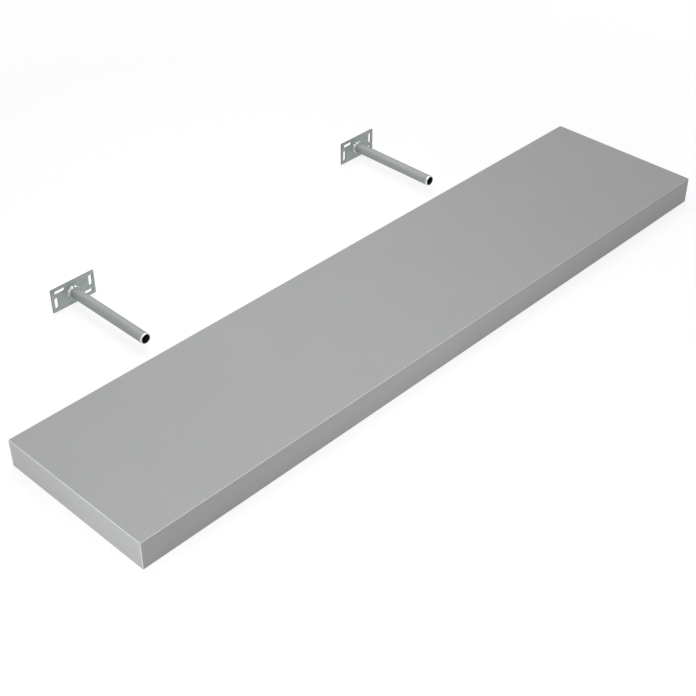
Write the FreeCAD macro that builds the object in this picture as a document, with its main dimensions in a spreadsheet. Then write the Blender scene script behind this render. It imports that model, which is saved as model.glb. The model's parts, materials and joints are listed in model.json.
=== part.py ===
import FreeCAD, Part
import math
import os

import Sketcher

# Floating wall shelf: a hollow-core board that slides onto two welded wall brackets.
# The origin lies on the wall, midway between the brackets, at the height of their tubes.
# +X runs along the shelf, +Y points into the wall and +Z up. All sizes are in millimetres.
# The board stands in front of its brackets, drawn off the tubes, as before it is hung.

DRIVING_SIZES = [
    ("shelf_length", 1100, "board, left end to right end, edge bands included"),
    ("shelf_depth", 250, "board, rear edge to front edge, edge bands included"),
    ("shelf_thickness", 42, "board, underside to top"),
    ("panel_thickness", 4, "faced fibreboard on the top and underside"),
    ("band_thickness", 1.5, "edge band"),
    ("band_round", 1.2, "rounding along the outer edges of a band"),
    ("front_rail_width", 30, "inner frame, along the front"),
    ("rear_rail_width", 36, "inner frame, along the wall side"),
    ("end_rail_width", 30, "inner frame, at both ends"),
    ("cross_rail_width", 50, "bored rail that holds a tube"),
    ("core_cell_width", 30, "paper honeycomb cell, across its flats"),
    ("paper_thickness", 0.4, "paper of the honeycomb"),
    ("core_clearance", 0.5, "gap between the honeycomb and the rails"),
    ("bracket_spacing", 580, "tube axis to tube axis"),
    ("tube_diameter", 16, "support tube, outside"),
    ("tube_wall", 1.2, "support tube"),
    ("tube_length", 160, "support tube, from the face of the plate"),
    ("tube_end_chamfer", 0.9, "round the tube's free end"),
    ("bore_clearance", 0.5, "gap all round the tube in its socket"),
    ("bore_end_gap", 6, "room beyond the tube's end when the board is home"),
    ("weld_leg", 4, "bead that joins tube and plate"),
    ("weld_clearance", 1, "room round the bead in the countersink"),
    ("plate_width", 74, "wall plate, along the shelf"),
    ("plate_height", 38, "wall plate"),
    ("plate_thickness", 2, "wall plate"),
    ("plate_corner_round", 0.8, "wall plate"),
    ("slot_length", 18, "screw slot, end to end"),
    ("slot_width", 6, "screw slot"),
    ("slot_line_margin", 7, "plate edge to the middle line of the slot beside it"),
    ("flat_slot_end_margin", 5.5, "plate side to the end of a level slot"),
    ("upright_slot_end_margin", 5, "plate top or bottom to the end of an upright slot"),
    ("pull_off_gap", 60, "tube ends to the rear of the board, drawn off"),
]

# Lengths that several pieces share, worked out from the driving sizes
FRAME_LENGTH = "(sizes.shelf_length - 2 * sizes.band_thickness)"
FRAME_DEPTH = "(sizes.shelf_depth - 2 * sizes.band_thickness)"
RAIL_HEIGHT = "(sizes.shelf_thickness - 2 * sizes.panel_thickness)"
BAY_DEPTH = f"({FRAME_DEPTH} - sizes.front_rail_width - sizes.rear_rail_width)"
BAY_MIDDLE = f"(-sizes.band_thickness - sizes.rear_rail_width - {BAY_DEPTH} / 2)"
BORE_RADIUS = "(sizes.tube_diameter / 2 + sizes.bore_clearance)"
BORE_DEPTH = "(sizes.tube_length + sizes.bore_end_gap)"
MOUTH_RADIUS = "(sizes.tube_diameter / 2 + sizes.weld_leg + sizes.weld_clearance)"
SHELF_REAR = "-(sizes.plate_thickness + sizes.tube_length + sizes.pull_off_gap)"

SIDES = (("left", -1), ("right", 1))
FULL_TURN = 360
QUARTER_TURN = 90

doc = FreeCAD.newDocument("floating_wall_shelf")
sheet = doc.addObject("Spreadsheet::Sheet", "sizes")
for row, (alias, value, meaning) in enumerate(DRIVING_SIZES, start=1):
    sheet.set(f"A{row}", meaning)
    sheet.set(f"B{row}", str(value))
    sheet.setAlias(f"B{row}", alias)
doc.recompute()

sub_parts = []


def size(expression):
    """The number that an expression on the sheet gives now."""
    return float(sheet.evalExpression(expression))


def new_body(label):
    """A body of its own for one physical piece."""
    body = doc.addObject("PartDesign::Body", label)
    body.Label = label
    sub_parts.append(body)
    return body


def origin_feature(body, role):
    """One of the body's own planes or axes."""
    return next(f for f in body.Origin.OriginFeatures if f.Role == role)


def new_sketch(body, name, plane, x="0", y="0", z="0"):
    """A sketch on one of the body's planes, moved by x and y in that plane and by z along its normal."""
    sketch = body.newObject("Sketcher::SketchObject", f"{body.Name}_{name}")
    sketch.AttachmentSupport = (origin_feature(body, plane), [""])
    sketch.MapMode = "FlatFace"
    for axis, expression in (("x", x), ("y", y), ("z", z)):
        sketch.setExpression(f"AttachmentOffset.Base.{axis}", expression)
    return sketch


def dimension(sketch, kind, *where, length):
    """A dimension in a sketch, bound to an expression on the sheet."""
    number = sketch.addConstraint(Sketcher.Constraint(kind, *where, size(length)))
    sketch.setExpression(f"Constraints[{number}]", length)


def polygon(sketch, points):
    """Straight lines through the points and back to the first. Line n starts at point n."""
    count = len(points)
    for n in range(count):
        start = FreeCAD.Vector(*points[n], 0)
        end = FreeCAD.Vector(*points[(n + 1) % count], 0)
        sketch.addGeometry(Part.LineSegment(start, end), False)
    for n in range(count):
        sketch.addConstraint(Sketcher.Constraint("Coincident", n, 2, (n + 1) % count, 1))


def rectangle(sketch, width, height):
    """A rectangle centred on the sketch's origin."""
    x = size(width) / 2
    y = size(height) / 2
    polygon(sketch, [(-x, -y), (x, -y), (x, y), (-x, y)])
    for level_line in (0, 2):
        sketch.addConstraint(Sketcher.Constraint("Horizontal", level_line))
    for upright_line in (1, 3):
        sketch.addConstraint(Sketcher.Constraint("Vertical", upright_line))
    sketch.addConstraint(Sketcher.Constraint("Symmetric", 0, 1, 2, 1, -1, 1))
    dimension(sketch, "DistanceX", 0, 1, 0, 2, length=width)
    dimension(sketch, "DistanceY", 1, 1, 1, 2, length=height)


def pad(body, sketch, length):
    """The sketch raised along its normal."""
    feature = body.newObject("PartDesign::Pad", f"{body.Name}_pad")
    feature.Profile = sketch
    feature.setExpression("Length", length)
    return feature


def edge_names(feature, wanted):
    """Names of the feature's edges that the test picks."""
    doc.recompute()
    return [f"Edge{n}" for n, edge in enumerate(feature.Shape.Edges, start=1) if wanted(edge)]


def round_edges(body, base, wanted, radius):
    """Rounds the edges of the feature that the test picks."""
    fillet = body.newObject("PartDesign::Fillet", f"{body.Name}_round")
    fillet.Base = (base, edge_names(base, wanted))
    fillet.setExpression("Radius", radius)


def chamfer_edges(body, base, wanted, width):
    """Bevels the edges of the feature that the test picks."""
    chamfer = body.newObject("PartDesign::Chamfer", f"{body.Name}_chamfer")
    chamfer.Base = (base, edge_names(base, wanted))
    chamfer.setExpression("Size", width)


def board(label, length, depth, height, x="0", y="0", z=f"-{RAIL_HEIGHT} / 2"):
    """A straight board centred on x and y, standing on z. Returns its body and its pad."""
    body = new_body(label)
    outline = new_sketch(body, "outline", "XY_Plane", x, y, z)
    rectangle(outline, length, depth)
    return body, pad(body, outline, height)


def lies_at(edge, axis, place):
    """Whether all of an edge lies at one place along an axis."""
    tolerance = 1e-6
    low = getattr(edge.BoundBox, f"{axis}Min")
    high = getattr(edge.BoundBox, f"{axis}Max")
    return abs(low - place) < tolerance and abs(high - place) < tolerance


def drill_socket(body, side):
    """The blind hole that takes a tube, cut from the rear, with a countersink for the weld bead."""
    profile = new_sketch(body, "socket", "XY_Plane", x=f"{side} * sizes.bracket_spacing / 2")
    mouth = size(MOUTH_RADIUS)
    bore = size(BORE_RADIUS)
    depth = size(BORE_DEPTH)
    polygon(profile, [(0, 0), (mouth, 0), (bore, bore - mouth), (bore, -depth), (0, -depth)])
    profile.addConstraint(Sketcher.Constraint("Coincident", 0, 1, -1, 1))
    for level_line in (0, 3):
        profile.addConstraint(Sketcher.Constraint("Horizontal", level_line))
    for upright_line in (2, 4):
        profile.addConstraint(Sketcher.Constraint("Vertical", upright_line))
    dimension(profile, "DistanceX", 0, 1, 0, 2, length=MOUTH_RADIUS)
    dimension(profile, "DistanceX", 3, 2, 3, 1, length=BORE_RADIUS)
    dimension(profile, "DistanceY", 1, 2, 1, 1, length=f"{MOUTH_RADIUS} - {BORE_RADIUS}")
    dimension(profile, "DistanceY", 4, 1, 4, 2, length=BORE_DEPTH)
    socket = body.newObject("PartDesign::Groove", f"{body.Name}_socket")
    socket.Profile = profile
    socket.ReferenceAxis = (profile, ["V_Axis"])
    socket.Angle = FULL_TURN


# The board's own frame has its origin at the middle of its rear edge, on the line of the sockets.


def panels():
    """Faced fibreboard sheets that close the frame above and below."""
    middle = "-sizes.shelf_depth / 2"
    board("top_panel", FRAME_LENGTH, FRAME_DEPTH, "sizes.panel_thickness",
          y=middle, z=f"{RAIL_HEIGHT} / 2")
    board("bottom_panel", FRAME_LENGTH, FRAME_DEPTH, "sizes.panel_thickness",
          y=middle, z="-sizes.shelf_thickness / 2")


def long_rails():
    """The frame's front and rear rails, which run from end to end. The rear one is bored for both tubes."""
    board("front_rail", FRAME_LENGTH, "sizes.front_rail_width", RAIL_HEIGHT,
          y="-sizes.shelf_depth + sizes.band_thickness + sizes.front_rail_width / 2")
    rear_rail, _ = board("rear_rail", FRAME_LENGTH, "sizes.rear_rail_width", RAIL_HEIGHT,
                         y="-sizes.band_thickness - sizes.rear_rail_width / 2")
    for _, side in SIDES:
        drill_socket(rear_rail, side)


def short_rails():
    """End rails and bored cross rails, which stand between the two long ones."""
    for name, side in SIDES:
        board(f"{name}_end_rail", "sizes.end_rail_width", BAY_DEPTH, RAIL_HEIGHT,
              x=f"{side} * ({FRAME_LENGTH} - sizes.end_rail_width) / 2", y=BAY_MIDDLE)
        cross_rail, _ = board(f"{name}_cross_rail", "sizes.cross_rail_width", BAY_DEPTH, RAIL_HEIGHT,
                              x=f"{side} * sizes.bracket_spacing / 2", y=BAY_MIDDLE)
        drill_socket(cross_rail, side)


def long_band(label, outer_face, middle):
    """An edge band along the front or rear, rounded all round its outer face."""
    body, strip = board(label, "sizes.shelf_length", "sizes.band_thickness", "sizes.shelf_thickness",
                        y=middle, z="-sizes.shelf_thickness / 2")
    round_edges(body, strip, lambda edge: lies_at(edge, "Y", outer_face), "sizes.band_round")
    return body


def edge_bands():
    """Plastic bands over the board's four edges. The rear one is pierced for both tubes."""
    long_band("front_edge_band", -size("sizes.shelf_depth"), "-sizes.shelf_depth + sizes.band_thickness / 2")
    rear_band = long_band("rear_edge_band", 0, "-sizes.band_thickness / 2")
    for name, side in SIDES:
        drill_socket(rear_band, side)
        body, strip = board(f"{name}_edge_band", "sizes.band_thickness", FRAME_DEPTH, "sizes.shelf_thickness",
                            x=f"{side} * (sizes.shelf_length - sizes.band_thickness) / 2",
                            y="-sizes.shelf_depth / 2", z="-sizes.shelf_thickness / 2")
        outer_face = side * size("sizes.shelf_length") / 2
        half_thickness = size("sizes.shelf_thickness") / 2

        def is_outer_long_edge(edge):
            along_depth = lies_at(edge, "Z", half_thickness) or lies_at(edge, "Z", -half_thickness)
            return along_depth and lies_at(edge, "X", outer_face)

        round_edges(body, strip, is_outer_long_edge, "sizes.band_round")


def strip_outline(start, middle, swing, flat, run, paper, half_waves):
    """Outline, seen from above, of one zigzag paper strip that swings to both sides of its middle line."""
    mitre = paper / 2 * math.tan(math.atan2(abs(swing), run) / 2)
    level = swing / 2
    corners = [(start, level, 0)]
    for n in range(half_waves):
        slant_start = start + n * (flat + run) + flat / 2
        slope = -math.copysign(1, level)
        corners.append((slant_start, level, slope))
        corners.append((slant_start + run, -level, slope))
        level = -level
    corners.append((start + half_waves * (flat + run), level, 0))
    rear = [FreeCAD.Vector(x - slope * mitre, middle + y + paper / 2, 0) for x, y, slope in corners]
    front = [FreeCAD.Vector(x + slope * mitre, middle + y - paper / 2, 0) for x, y, slope in corners]
    return rear + front[::-1]


def honeycomb(label, low, high):
    """Expanded paper core between two rails: zigzag strips, each glued to the next along its flats."""
    cell = size("sizes.core_cell_width")
    paper = size("sizes.paper_thickness")
    clearance = size("sizes.core_clearance")
    height = size(RAIL_HEIGHT)
    width = high - low - 2 * clearance
    depth = size(BAY_DEPTH) - 2 * clearance
    cell_side = cell / math.sqrt(3)
    strips = math.ceil(depth / (cell / 2 + paper))
    pitch = depth / strips
    swing = pitch - paper
    run = math.sqrt(cell_side**2 - swing**2)
    half_waves = max(2, round(width / (cell_side + run)))
    flat = width / half_waves - run
    solids = []
    for n in range(strips):
        middle = size(BAY_MIDDLE) - depth / 2 + (n + 0.5) * pitch
        outline = strip_outline(low + clearance, middle, (-1) ** n * swing, flat, run, paper, half_waves)
        face = Part.Face(Part.makePolygon(outline + outline[:1]))
        face.translate(FreeCAD.Vector(0, 0, -height / 2))
        solids.append(face.extrude(FreeCAD.Vector(0, 0, height)))
    core = doc.addObject("Part::Feature", label)
    core.Label = label
    core.Shape = Part.makeCompound(solids)
    sub_parts.append(core)


def honeycombs():
    """One core in each of the three bays that the rails leave."""
    end = size(f"{FRAME_LENGTH} / 2 - sizes.end_rail_width")
    cross_outer = size("(sizes.bracket_spacing + sizes.cross_rail_width) / 2")
    cross_inner = size("(sizes.bracket_spacing - sizes.cross_rail_width) / 2")
    honeycomb("left_core", -end, -cross_outer)
    honeycomb("centre_core", -cross_inner, cross_inner)
    honeycomb("right_core", cross_outer, end)


# A bracket's own frame has its origin on the wall, on the axis of its tube.


def slot(body, x, z, turn):
    """A round-ended screw slot through the plate, level or turned upright."""
    outline = new_sketch(body, "slot", "XZ_Plane", x, z)
    placed = outline.AttachmentOffset
    placed.Rotation = FreeCAD.Rotation(FreeCAD.Vector(0, 0, 1), turn)
    outline.AttachmentOffset = placed
    radius = size("sizes.slot_width / 2")
    reach = size("sizes.slot_length / 2") - radius
    upward = FreeCAD.Vector(0, 0, 1)
    right_end = Part.Circle(FreeCAD.Vector(reach, 0, 0), upward, radius)
    left_end = Part.Circle(FreeCAD.Vector(-reach, 0, 0), upward, radius)
    lower = Part.LineSegment(FreeCAD.Vector(-reach, -radius, 0), FreeCAD.Vector(reach, -radius, 0))
    upper = Part.LineSegment(FreeCAD.Vector(reach, radius, 0), FreeCAD.Vector(-reach, radius, 0))
    outline.addGeometry(lower, False)
    outline.addGeometry(Part.ArcOfCircle(right_end, -math.pi / 2, math.pi / 2), False)
    outline.addGeometry(upper, False)
    outline.addGeometry(Part.ArcOfCircle(left_end, math.pi / 2, 3 * math.pi / 2), False)
    for n in range(4):
        outline.addConstraint(Sketcher.Constraint("Tangent", n, 2, (n + 1) % 4, 1))
    outline.addConstraint(Sketcher.Constraint("Horizontal", 0))
    outline.addConstraint(Sketcher.Constraint("Symmetric", 1, 3, 3, 3, -1, 1))
    dimension(outline, "Radius", 1, length="sizes.slot_width / 2")
    dimension(outline, "DistanceX", 3, 3, 1, 3, length="sizes.slot_length - sizes.slot_width")
    cut = body.newObject("PartDesign::Pocket", f"{body.Name}_slot")
    cut.Profile = outline
    cut.setExpression("Length", "sizes.plate_thickness")
    cut.Reversed = True
    return cut


def wall_plate(label):
    """Flat steel plate with a level and an upright screw slot at each side, half a turn apart."""
    body = new_body(label)
    outline = new_sketch(body, "outline", "XZ_Plane")
    rectangle(outline, "sizes.plate_width", "sizes.plate_height")
    sheet_metal = pad(body, outline, "sizes.plate_thickness")
    thickness = size("sizes.plate_thickness")
    is_corner = lambda edge: abs(edge.BoundBox.YLength - thickness) < 1e-6
    round_edges(body, sheet_metal, is_corner, "sizes.plate_corner_round")
    doc.recompute()
    level_slot = slot(
        body,
        "-(sizes.plate_width - sizes.slot_length) / 2 + sizes.flat_slot_end_margin",
        "sizes.plate_height / 2 - sizes.slot_line_margin",
        turn=0,
    )
    upright_slot = slot(
        body,
        "-sizes.plate_width / 2 + sizes.slot_line_margin",
        "-(sizes.plate_height - sizes.slot_length) / 2 + sizes.upright_slot_end_margin",
        turn=QUARTER_TURN,
    )
    doc.recompute()
    both_sides = body.newObject("PartDesign::PolarPattern", f"{body.Name}_both_sides")
    both_sides.Originals = [level_slot, upright_slot]
    both_sides.Axis = (origin_feature(body, "Y_Axis"), [""])
    both_sides.Angle = FULL_TURN
    both_sides.Occurrences = 2
    body.Tip = both_sides
    return body


def support_tube(label):
    """Steel tube that carries the board, open and chamfered at its free end."""
    body = new_body(label)
    ring = new_sketch(body, "ring", "XZ_Plane", z="sizes.plate_thickness")
    centre = FreeCAD.Vector(0, 0, 0)
    upward = FreeCAD.Vector(0, 0, 1)
    outside = "sizes.tube_diameter / 2"
    inside = "sizes.tube_diameter / 2 - sizes.tube_wall"
    for n, radius in enumerate((outside, inside)):
        ring.addGeometry(Part.Circle(centre, upward, size(radius)), False)
        ring.addConstraint(Sketcher.Constraint("Coincident", n, 3, -1, 1))
        dimension(ring, "Radius", n, length=radius)
    tube = pad(body, ring, "sizes.tube_length")
    free_end = -size("sizes.plate_thickness + sizes.tube_length")
    middle_of_wall = size("(sizes.tube_diameter - sizes.tube_wall) / 2")

    def is_outer_rim(edge):
        return lies_at(edge, "Y", free_end) and edge.Curve.Radius > middle_of_wall

    chamfer_edges(body, tube, is_outer_rim, "sizes.tube_end_chamfer")
    return body


def weld_bead(label):
    """Three-cornered bead laid all round the foot of the tube."""
    body = new_body(label)
    section = new_sketch(body, "section", "XY_Plane", "sizes.tube_diameter / 2", "-sizes.plate_thickness")
    leg = size("sizes.weld_leg")
    polygon(section, [(0, 0), (leg, 0), (0, -leg)])
    section.addConstraint(Sketcher.Constraint("Coincident", 0, 1, -1, 1))
    section.addConstraint(Sketcher.Constraint("Horizontal", 0))
    section.addConstraint(Sketcher.Constraint("Vertical", 2))
    dimension(section, "DistanceX", 0, 1, 0, 2, length="sizes.weld_leg")
    dimension(section, "DistanceY", 2, 1, 2, 2, length="sizes.weld_leg")
    bead = body.newObject("PartDesign::Revolution", f"{body.Name}_bead")
    bead.Profile = section
    bead.ReferenceAxis = (origin_feature(body, "Y_Axis"), [""])
    bead.Angle = FULL_TURN
    return body


def put(pieces, **places):
    """Places pieces in the part's frame, each axis bound to an expression."""
    for piece in pieces:
        for axis, expression in places.items():
            piece.setExpression(f"Placement.Base.{axis}", expression)


def check_and_write():
    """Stops at a failed object or a bad solid, then writes one file for each piece."""
    failed = [o.Label for o in doc.Objects if "Invalid" in o.State or "Error" in o.State]
    bad = [p.Label for p in sub_parts if p.Shape.isNull() or not p.Shape.isValid() or not p.Shape.Solids]
    if failed or bad:
        raise SystemExit(f"failed objects: {failed}, bad shapes: {bad}")
    os.makedirs("parts", exist_ok=True)
    for piece in sub_parts:
        shape = piece.Shape
        box = shape.BoundBox
        shape.exportStep(f"parts/{piece.Label}.step")
        print(f"{piece.Label}: {len(shape.Solids)} solid(s), {shape.Volume:.1f} mm3, "
              f"x {box.XMin:.2f} to {box.XMax:.2f}, y {box.YMin:.2f} to {box.YMax:.2f}, "
              f"z {box.ZMin:.2f} to {box.ZMax:.2f}")


panels()
long_rails()
short_rails()
edge_bands()
honeycombs()
doc.recompute()
put(sub_parts, y=SHELF_REAR)
for name, side in SIDES:
    bracket = [
        wall_plate(f"{name}_wall_plate"),
        support_tube(f"{name}_support_tube"),
        weld_bead(f"{name}_weld_bead"),
    ]
    put(bracket, x=f"{side} * sizes.bracket_spacing / 2")
doc.recompute()
check_and_write()
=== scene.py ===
# %% [markdown]
# # A floating wall shelf
# The object is a long, light grey hollow-core board with banded edges. Behind it stand the two
# zinc-plated brackets that carry it: a slotted plate for the wall, and a tube that slides into a socket
# in the board's rear. The solids come from the CAD model and already have their size and place. This
# file gives them their looks: edges that catch the light, finishes with grain and sheen, a white studio
# and the camera. The box round the bare solids is kept: the floor is placed by it, and it is printed at
# the end.

# %% Load the frame
import json
import math

import bmesh
import bpy
from mathutils import Matrix, Vector

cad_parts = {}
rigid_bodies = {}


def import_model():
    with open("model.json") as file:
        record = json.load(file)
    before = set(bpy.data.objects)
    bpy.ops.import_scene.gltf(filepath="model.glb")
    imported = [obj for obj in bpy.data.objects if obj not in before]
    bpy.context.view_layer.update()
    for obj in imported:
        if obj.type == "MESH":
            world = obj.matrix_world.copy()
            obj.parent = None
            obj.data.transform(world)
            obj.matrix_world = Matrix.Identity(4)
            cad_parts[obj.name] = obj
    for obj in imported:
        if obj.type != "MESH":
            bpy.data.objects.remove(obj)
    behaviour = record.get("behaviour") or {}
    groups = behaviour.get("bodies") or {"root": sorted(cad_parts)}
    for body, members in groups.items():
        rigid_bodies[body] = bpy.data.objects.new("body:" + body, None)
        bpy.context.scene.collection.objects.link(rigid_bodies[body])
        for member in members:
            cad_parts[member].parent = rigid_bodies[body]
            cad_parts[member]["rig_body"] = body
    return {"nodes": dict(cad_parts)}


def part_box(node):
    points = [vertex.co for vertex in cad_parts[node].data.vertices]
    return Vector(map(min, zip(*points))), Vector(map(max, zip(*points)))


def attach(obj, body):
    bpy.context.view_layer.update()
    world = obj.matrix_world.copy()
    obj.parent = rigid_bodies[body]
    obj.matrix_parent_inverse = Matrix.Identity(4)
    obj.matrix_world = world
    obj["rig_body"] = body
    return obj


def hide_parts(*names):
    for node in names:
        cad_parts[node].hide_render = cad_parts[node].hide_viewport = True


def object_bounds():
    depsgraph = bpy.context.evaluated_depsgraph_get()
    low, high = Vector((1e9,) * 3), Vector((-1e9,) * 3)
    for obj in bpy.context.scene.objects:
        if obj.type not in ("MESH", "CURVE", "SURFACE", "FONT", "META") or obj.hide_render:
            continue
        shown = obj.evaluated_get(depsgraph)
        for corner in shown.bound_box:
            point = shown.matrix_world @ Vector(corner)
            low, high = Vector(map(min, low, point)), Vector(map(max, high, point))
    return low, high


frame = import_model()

cad_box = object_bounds()
nodes = frame["nodes"]
MM = 0.001

# %% [markdown]
# ## Colours
# Colours are written as sRGB hex values, as a paint chart gives them. A shader's sockets want them
# linear. In the editor the colour picker converts them unseen; a script has to do it, so one function
# follows the sRGB curve.

# %% Colours


def linear(hex_colour):
    """An sRGB hex colour as the linear colour with alpha that a socket takes."""
    channels = [int(hex_colour[i:i + 2], 16) / 255 for i in (1, 3, 5)]
    return [c / 12.92 if c <= 0.04045 else ((c + 0.055) / 1.055) ** 2.4 for c in channels] + [1.0]


print("a middle grey, #808080, is", round(linear("#808080")[0], 3), "in linear light")

# %% [markdown]
# ## Nodes
# In the editor a finish is made by adding nodes and dragging links between them. Here one function adds
# a node with its settings and its links, which keeps each finish below to a few lines. Every pattern
# reads Object coordinates, which are metres, and is given by the real size of what it draws: a noise
# texture's scale is how often it repeats in a metre, so a 2 mm grain repeats 500 times.

# %% Helpers for materials


def repeats(size_mm):
    """How often a pattern of this size repeats in a metre."""
    return 1.0 / (size_mm * MM)


def add_node(material, kind, settings=None, links=None):
    """Adds a node. Settings name its inputs or its options, links say which output feeds an input."""
    node = material.node_tree.nodes.new(kind)
    for name, value in (settings or {}).items():
        if isinstance(name, str) and name not in node.inputs:
            setattr(node, name, value)
        else:
            node.inputs[name].default_value = value
    for name, output in (links or {}).items():
        material.node_tree.links.new(output, node.inputs[name])
    return node


def new_material(name, **surface):
    """An empty material with one Principled surface. Returns it, its surface and Object coordinates."""
    material = bpy.data.materials.new(name)
    material.use_nodes = True
    material.node_tree.nodes.clear()
    settings = {socket.replace("_", " "): value for socket, value in surface.items()}
    shader = add_node(material, "ShaderNodeBsdfPrincipled", settings)
    add_node(material, "ShaderNodeOutputMaterial", links={"Surface": shader.outputs["BSDF"]})
    place = add_node(material, "ShaderNodeTexCoord").outputs["Object"]
    return material, shader, place


def feed(material, shader, **links):
    """Links outputs to the sockets of a surface."""
    for socket, output in links.items():
        material.node_tree.links.new(output, shader.inputs[socket.replace("_", " ")])


print("helpers ready; a 2 mm grain repeats", repeats(2), "times in a metre")

# %% [markdown]
# ## Grey melamine
# The board's top and underside are thin fibreboard faced with melamine: paper soaked in resin and
# pressed hot against a plate with a fine pearl texture. It gives an even grey with a soft sheen. Under a
# lens it isn't even: the print has a faint cloudiness, and the pearl breaks up the sheen. A picture of
# such a sheet would repeat along a metre of board, so both are drawn with noise, which never does. The
# real pearl is about 0.3 mm, too fine to show here, so it is drawn at 1.5 mm.

# %% Grey melamine
PEARL_MM = 1.5
PEARL_DEPTH_MM = 0.1
PEARL_SHARE = 0.88
CLOUD_MM = 90
BOARD_GREY_DARK = "#a2a4a3"
BOARD_GREY_LIGHT = "#b3b5b4"
# Most of a noise texture's values lie between these two.
NOISE_LOW = 0.3
NOISE_HIGH = 0.7

grey_melamine, face, place = new_material("grey_melamine", IOR=1.5)
cloud = add_node(grey_melamine, "ShaderNodeTexNoise",
                 {"Scale": repeats(CLOUD_MM), "Detail": 3.0}, {"Vector": place})
pearl = add_node(grey_melamine, "ShaderNodeTexNoise",
                 {"Scale": repeats(PEARL_MM), "Detail": 2.0}, {"Vector": place})
mottle = add_node(grey_melamine, "ShaderNodeMix", {"data_type": "FLOAT", 0: PEARL_SHARE},
                  {2: cloud.outputs[0], 3: pearl.outputs[0]})
spread = add_node(grey_melamine, "ShaderNodeMapRange", {"From Min": NOISE_LOW, "From Max": NOISE_HIGH},
                  {"Value": mottle.outputs[0]})
tone = add_node(grey_melamine, "ShaderNodeMix",
                {"data_type": "RGBA", 6: linear(BOARD_GREY_DARK), 7: linear(BOARD_GREY_LIGHT)},
                {0: spread.outputs[0]})
sheen = add_node(grey_melamine, "ShaderNodeMapRange", {"To Min": 0.38, "To Max": 0.54},
                 {"Value": pearl.outputs[0]})
relief = add_node(grey_melamine, "ShaderNodeBump", {"Strength": 0.6, "Distance": PEARL_DEPTH_MM * MM},
                  {"Height": pearl.outputs[0]})
feed(grey_melamine, face, Base_Color=tone.outputs[2], Roughness=sheen.outputs[0],
     Normal=relief.outputs[0])
print("grey melamine: pearl", PEARL_MM, "mm, cloud", CLOUD_MM, "mm")

# %% [markdown]
# ## Grey ABS edge band
# The edges are covered with a 1.5 mm strip of extruded ABS in the board's colour. Extrusion and the
# scraper that trims it leave faint lines along the strip, and the band is a touch smoother than the
# faces. A wave texture draws lines too, but they come out as even as a comb's. Noise that is stretched,
# fine across the height and long along the edge, gives lines that start and fade as a scraper's do. They
# are drawn 0.9 mm apart, because the real ones are too fine to show.

# %% Grey ABS edge band
SCRAPE_MM = 0.9
SCRAPE_LENGTH_MM = 140
SCRAPE_DEPTH_MM = 0.06
SCRAPE_SHARE = 0.7

grey_abs, band, place = new_material("grey_abs", IOR=1.5)
along = add_node(grey_abs, "ShaderNodeMapping",
                 {"Scale": (repeats(SCRAPE_LENGTH_MM), repeats(SCRAPE_LENGTH_MM), repeats(SCRAPE_MM))},
                 {"Vector": place})
scrape = add_node(grey_abs, "ShaderNodeTexNoise", {"Scale": 1.0, "Detail": 3.0},
                  {"Vector": along.outputs[0]})
band_cloud = add_node(grey_abs, "ShaderNodeTexNoise", {"Scale": repeats(CLOUD_MM), "Detail": 3.0},
                      {"Vector": place})
band_mottle = add_node(grey_abs, "ShaderNodeMix", {"data_type": "FLOAT", 0: SCRAPE_SHARE},
                       {2: band_cloud.outputs[0], 3: scrape.outputs[0]})
band_tone = add_node(grey_abs, "ShaderNodeMix",
                     {"data_type": "RGBA", 6: linear(BOARD_GREY_DARK), 7: linear(BOARD_GREY_LIGHT)},
                     {0: band_mottle.outputs[0]})
band_sheen = add_node(grey_abs, "ShaderNodeMapRange", {"To Min": 0.34, "To Max": 0.48},
                      {"Value": scrape.outputs[0]})
band_relief = add_node(grey_abs, "ShaderNodeBump", {"Strength": 0.5, "Distance": SCRAPE_DEPTH_MM * MM},
                       {"Height": scrape.outputs[0]})
feed(grey_abs, band, Base_Color=band_tone.outputs[2], Roughness=band_sheen.outputs[0],
     Normal=band_relief.outputs[0])
print("grey ABS: scrape lines", SCRAPE_MM, "mm apart")

# %% [markdown]
# ## Scraped edge and painted highlight
# Where the band's edge is cut round, the scraper stretches the plastic and leaves it paler, and a
# buffing wheel then makes it smoother than the flat. The pale tone here is partly that and partly a
# painted highlight: it paints the thin light line along the edges of such a board. A mask could paint it
# on, but it is simpler to give the faces of the rounding a finish of their own: the line is then as wide
# as the cut and stays in place from every side. Its tone breaks up in short dashes, where the scraper
# chattered.

# %% Scraped edge and painted highlight
CHATTER_MM = 12
# The two pale tones are partly the scraper's whitening and partly a painted highlight along the edges.
SCRAPED_HIGHLIGHT_DARK = "#cfd2d0"
SCRAPED_HIGHLIGHT_LIGHT = "#e3e6e4"

scraped_abs_highlight, scraped_highlight_face, place = new_material("scraped_abs_highlight", IOR=1.5)
chatter = add_node(scraped_abs_highlight, "ShaderNodeTexNoise", {"Scale": repeats(CHATTER_MM), "Detail": 3.0},
                   {"Vector": place})
scraped_highlight_tone = add_node(scraped_abs_highlight, "ShaderNodeMix",
                        {"data_type": "RGBA", 6: linear(SCRAPED_HIGHLIGHT_DARK), 7: linear(SCRAPED_HIGHLIGHT_LIGHT)},
                        {0: chatter.outputs[0]})
scraped_sheen = add_node(scraped_abs_highlight, "ShaderNodeMapRange", {"To Min": 0.25, "To Max": 0.38},
                         {"Value": chatter.outputs[0]})
feed(scraped_abs_highlight, scraped_highlight_face, Base_Color=scraped_highlight_tone.outputs[2], Roughness=scraped_sheen.outputs[0])
print("scraped edge: marks of", CHATTER_MM, "mm")

# %% [markdown]
# ## Raw fibreboard
# The frame inside the board is medium-density fibreboard: fine wood fibres pressed with glue, brown and
# dull, with small flecks. It shows only in the mouths of the two sockets, where the drill has left it
# bare. The CAD rails have the right shape, sockets included, so they aren't modelled again and only get
# this finish.

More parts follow.
